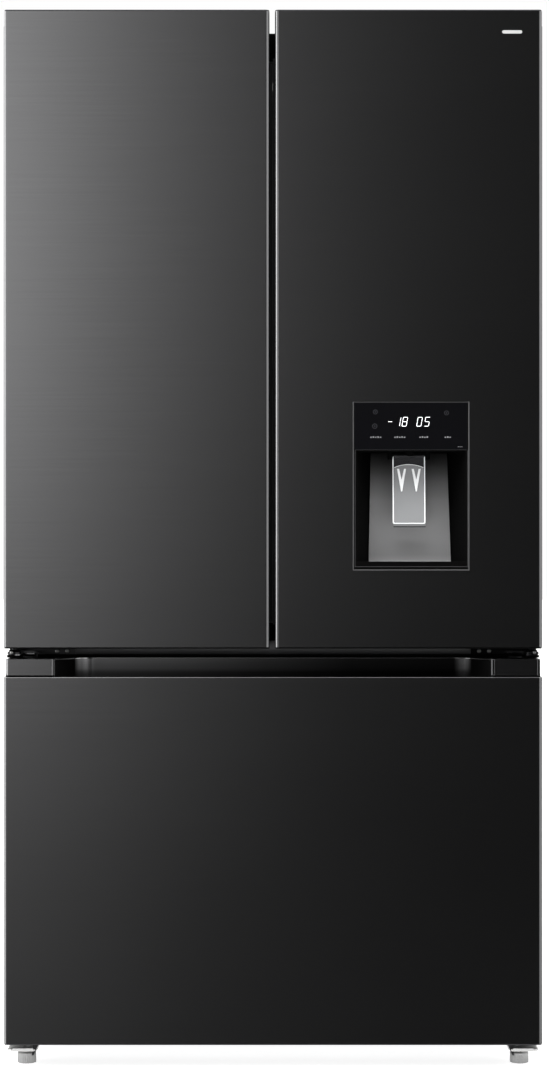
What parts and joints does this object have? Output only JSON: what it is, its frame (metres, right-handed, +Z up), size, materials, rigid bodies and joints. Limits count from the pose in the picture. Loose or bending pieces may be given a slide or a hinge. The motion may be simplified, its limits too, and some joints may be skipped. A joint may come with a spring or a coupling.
{
  "type": "french door refrigerator",
  "caption": "Free-standing refrigerator-freezer with side-by-side fridge doors over a full-width freezer drawer and a water dispenser in one door",
  "frame": {"origin": "on the floor, under the middle of the bounding box", "axes": "+Z up, the doors face -Y, +X to the right seen from the front"},
  "size_m": [0.911, 0.735, 1.79],
  "materials": {
    "cabinet_shell": "satin",
    "rear_panel": "satin",
    "base_pan": "satin",
    "insulation_foam": "matte",
    "fridge_liner": "satin",
    "freezer_liner": "satin",
    "left_top_hinge": "satin",
    "right_top_hinge": "satin",
    "left_hinge_cover": "satin",
    "right_hinge_cover": "satin",
    "left_middle_hinge": "satin",
    "right_middle_hinge": "satin",
    "upper_shelf": "gloss",
    "lower_shelf": "gloss",
    "crisper_cover": "gloss",
    "air_duct_cover": "satin",
    "evaporator_cover": "satin",
    "evaporator": "satin",
    "compressor": "satin",
    "condenser": "satin",
    "fan_shroud": "satin",
    "machine_cover": "satin",
    "left_foot_bracket": "satin",
    "right_foot_bracket": "satin",
    "left_cabinet_rail": "satin",
    "right_cabinet_rail": "satin",
    "condenser_fan": "satin",
    "evaporator_fan": "satin",
    "left_front_foot": "satin",
    "right_front_foot": "satin",
    "left_rear_wheel": "satin",
    "right_rear_wheel": "satin",
    "left_crisper": "gloss",
    "right_crisper": "gloss",
    "left_slide": "satin",
    "right_slide": "satin",
    "left_door_skin": "satin",
    "right_door_skin": "satin",
    "drawer_front_skin": "satin",
    "drawer_handle": "satin",
    "left_door_liner": "satin",
    "right_door_liner": "satin",
    "drawer_front_liner": "satin",
    "left_door_gasket": "matte",
    "right_door_gasket": "matte",
    "drawer_gasket": "matte",
    "left_lower_bin": "gloss",
    "left_middle_bin": "gloss",
    "left_upper_bin": "gloss",
    "right_upper_bin": "gloss",
    "mullion": "satin",
    "dispenser_housing": "gloss",
    "control_panel": "gloss",
    "splash_plate": "satin",
    "dispenser_lever": "gloss",
    "water_tank": "gloss",
    "water_tank_cap": "satin",
    "drawer_frame": "satin",
    "drawer_basket": "gloss",
    "upper_tray": "gloss"
  },
  "bodies": {
    "cabinet": {"cabinet_shell": "cabinet_shell", "rear_panel": "rear_panel", "base_pan": "base_pan", "insulation_foam": "insulation_foam", "fridge_liner": "fridge_liner", "freezer_liner": "freezer_liner", "left_top_hinge": "left_top_hinge", "right_top_hinge": "right_top_hinge", "left_hinge_cover": "left_hinge_cover", "right_hinge_cover": "right_hinge_cover", "left_middle_hinge": "left_middle_hinge", "right_middle_hinge": "right_middle_hinge", "upper_shelf": "upper_shelf", "lower_shelf": "lower_shelf", "crisper_cover": "crisper_cover", "air_duct_cover": "air_duct_cover", "evaporator_cover": "evaporator_cover", "evaporator": "evaporator", "compressor": "compressor", "condenser": "condenser", "fan_shroud": "fan_shroud", "machine_cover": "machine_cover", "left_foot_bracket": "left_foot_bracket", "right_foot_bracket": "right_foot_bracket", "left_cabinet_rail": "left_cabinet_rail", "right_cabinet_rail": "right_cabinet_rail"},
    "condenser_fan": {"condenser_fan": "condenser_fan"},
    "evaporator_fan": {"evaporator_fan": "evaporator_fan"},
    "left_front_foot": {"left_front_foot": "left_front_foot"},
    "right_front_foot": {"right_front_foot": "right_front_foot"},
    "left_rear_wheel": {"left_rear_wheel": "left_rear_wheel"},
    "right_rear_wheel": {"right_rear_wheel": "right_rear_wheel"},
    "left_crisper": {"left_crisper": "left_crisper"},
    "right_crisper": {"right_crisper": "right_crisper"},
    "left_slide": {"left_slide": "left_slide"},
    "right_slide": {"right_slide": "right_slide"},
    "left_door": {"left_door_skin": "left_door_skin", "left_door_liner": "left_door_liner", "left_door_gasket": "left_door_gasket", "left_lower_bin": "left_lower_bin", "left_middle_bin": "left_middle_bin", "left_upper_bin": "left_upper_bin"},
    "mullion": {"mullion": "mullion"},
    "right_door": {"right_door_skin": "right_door_skin", "right_door_liner": "right_door_liner", "right_door_gasket": "right_door_gasket", "right_upper_bin": "right_upper_bin", "dispenser_housing": "dispenser_housing", "control_panel": "control_panel", "splash_plate": "splash_plate", "water_tank": "water_tank"},
    "dispenser_lever": {"dispenser_lever": "dispenser_lever"},
    "water_tank_cap": {"water_tank_cap": "water_tank_cap"},
    "freezer_drawer": {"drawer_front_skin": "drawer_front_skin", "drawer_front_liner": "drawer_front_liner", "drawer_gasket": "drawer_gasket", "drawer_handle": "drawer_handle", "drawer_frame": "drawer_frame", "drawer_basket": "drawer_basket"},
    "upper_tray": {"upper_tray": "upper_tray"}
  },
  "joints": [
    {"name": "left_door_swing", "type": "hinge", "parent": "cabinet", "child": "left_door", "pos_m": [-0.44, -0.3375, 1.2], "axis": [0, 0, -1], "range_deg": [0, 120]},
    {"name": "right_door_swing", "type": "hinge", "parent": "cabinet", "child": "right_door", "pos_m": [0.44, -0.3375, 1.2], "axis": [0, 0, 1], "range_deg": [0, 120]},
    {"name": "mullion_fold", "type": "hinge", "parent": "left_door", "child": "mullion", "pos_m": [-0.044, -0.2715, 1.235], "axis": [0, 0, 1], "range_deg": [0, 85]},
    {"name": "drawer_slide", "type": "slide", "parent": "cabinet", "child": "freezer_drawer", "axis": [0, -1, 0], "range_m": [0, 0.42]},
    {"name": "left_slide_travel", "type": "slide", "parent": "cabinet", "child": "left_slide", "axis": [0, -1, 0], "range_m": [0, 0.22]},
    {"name": "right_slide_travel", "type": "slide", "parent": "cabinet", "child": "right_slide", "axis": [0, -1, 0], "range_m": [0, 0.22]},
    {"name": "upper_tray_slide", "type": "slide", "parent": "freezer_drawer", "child": "upper_tray", "axis": [0, 1, 0], "range_m": [0, 0.1]},
    {"name": "left_crisper_slide", "type": "slide", "parent": "cabinet", "child": "left_crisper", "axis": [0, -1, 0], "range_m": [0, 0.11]},
    {"name": "right_crisper_slide", "type": "slide", "parent": "cabinet", "child": "right_crisper", "axis": [0, -1, 0], "range_m": [0, 0.11]},
    {"name": "lever_push", "type": "hinge", "parent": "right_door", "child": "dispenser_lever", "pos_m": [0.232, -0.3195, 1.037], "axis": [1, 0, 0], "range_deg": [0, 8], "stiffness_Nm_per_rad": 0.5},
    {"name": "tank_cap_flip", "type": "hinge", "parent": "right_door", "child": "water_tank_cap", "pos_m": [0.23, -0.262, 1.3325], "axis": [1, 0, 0], "range_deg": [0, 85]},
    {"name": "left_foot_turn", "type": "hinge", "parent": "cabinet", "child": "left_front_foot", "pos_m": [-0.4215, -0.3125, 0.01], "axis": [0, 0, 1], "continuous": true},
    {"name": "right_foot_turn", "type": "hinge", "parent": "cabinet", "child": "right_front_foot", "pos_m": [0.4215, -0.3125, 0.01], "axis": [0, 0, 1], "continuous": true},
    {"name": "left_wheel_roll", "type": "hinge", "parent": "cabinet", "child": "left_rear_wheel", "pos_m": [-0.41, 0.3, 0.025], "axis": [1, 0, 0], "continuous": true},
    {"name": "right_wheel_roll", "type": "hinge", "parent": "cabinet", "child": "right_rear_wheel", "pos_m": [0.41, 0.3, 0.025], "axis": [1, 0, 0], "continuous": true},
    {"name": "condenser_fan_spin", "type": "hinge", "parent": "cabinet", "child": "condenser_fan", "pos_m": [0.105, 0.24, 0.127], "axis": [1, 0, 0], "continuous": true},
    {"name": "evaporator_fan_spin", "type": "hinge", "parent": "cabinet", "child": "evaporator_fan", "pos_m": [0, 0.218, 0.56], "axis": [0, 1, 0], "continuous": true}
  ],
  "couplings": [
    {"joint": "mullion_fold", "follows": "left_door_swing", "ratio": 0.7},
    {"joint": "left_slide_travel", "follows": "drawer_slide", "ratio": 0.5},
    {"joint": "right_slide_travel", "follows": "drawer_slide", "ratio": 0.5}
  ]
}
